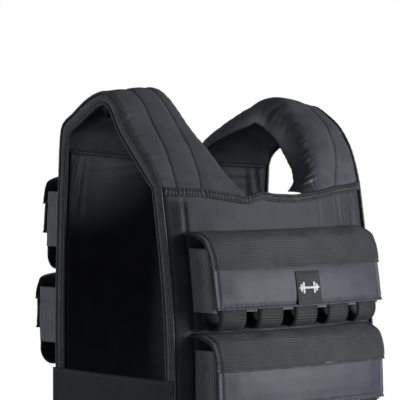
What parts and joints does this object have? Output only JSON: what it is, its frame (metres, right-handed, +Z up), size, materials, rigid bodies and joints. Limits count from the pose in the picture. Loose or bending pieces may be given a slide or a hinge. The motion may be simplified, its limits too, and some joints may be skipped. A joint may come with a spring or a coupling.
{
  "type": "weighted vest",
  "caption": "Padded vest with wide shoulder straps, open sides, and rows of flapped pockets and webbing slings for weights, front and back.",
  "frame": {"origin": "under the crest of the shoulder straps, midway between them, where the vest sits on the shoulders", "axes": "+Z up, the front of the vest faces -Y, +X to the wearer's left"},
  "size_m": [0.3752, 0.395, 0.4514],
  "materials": {
    "panel_nylon": "plain woven nylon over padding",
    "strap_nylon": "satin nylon over padding, with lengthwise seams",
    "hem_nylon": "gathered nylon band with rows of stitching",
    "lining_nylon": "smooth lining with a soft shine",
    "spacer_mesh": "open spacer mesh",
    "piping": "cord wrapped in nylon",
    "ribbed_cloth": "finely ribbed grosgrain",
    "pouch_cloth": "finely ribbed elastic cloth",
    "webbing": "elastic webbing with crosswise ribs",
    "label": "woven patch with a plain motif"
  },
  "bodies": {
    "root": {"front_panel": "panel_nylon", "front_lining": "lining_nylon", "front_neck_hem": "hem_nylon", "back_panel": "panel_nylon", "back_lining": "lining_nylon", "back_neck_hem": "hem_nylon", "right_shoulder_strap": "strap_nylon", "right_side_mesh": "spacer_mesh", "right_outer_piping": "piping", "right_inner_piping": "piping", "right_side_strap": "webbing", "left_shoulder_strap": "strap_nylon", "left_side_mesh": "spacer_mesh", "left_outer_piping": "piping", "left_inner_piping": "piping", "left_side_strap": "webbing", "front_upper_flap": "ribbed_cloth", "front_upper_flap_band": "panel_nylon", "front_upper_pouch": "pouch_cloth", "front_upper_sling_1": "webbing", "front_upper_sling_2": "webbing", "front_upper_sling_3": "webbing", "front_upper_sling_4": "webbing", "front_upper_sling_5": "webbing", "front_lower_flap": "ribbed_cloth", "front_lower_flap_band": "panel_nylon", "front_lower_pouch": "pouch_cloth", "front_lower_sling_1": "webbing", "front_lower_sling_2": "webbing", "front_lower_sling_3": "webbing", "front_lower_sling_4": "webbing", "front_lower_sling_5": "webbing", "back_upper_flap": "ribbed_cloth", "back_upper_flap_band": "panel_nylon", "back_upper_pouch": "pouch_cloth", "back_upper_sling_1": "webbing", "back_upper_sling_2": "webbing", "back_upper_sling_3": "webbing", "back_upper_sling_4": "webbing", "back_upper_sling_5": "webbing", "back_lower_flap": "ribbed_cloth", "back_lower_flap_band": "panel_nylon", "back_lower_pouch": "pouch_cloth", "back_lower_sling_1": "webbing", "back_lower_sling_2": "webbing", "back_lower_sling_3": "webbing", "back_lower_sling_4": "webbing", "back_lower_sling_5": "webbing", "label_patch": "label"}
  },
  "joints": []
}
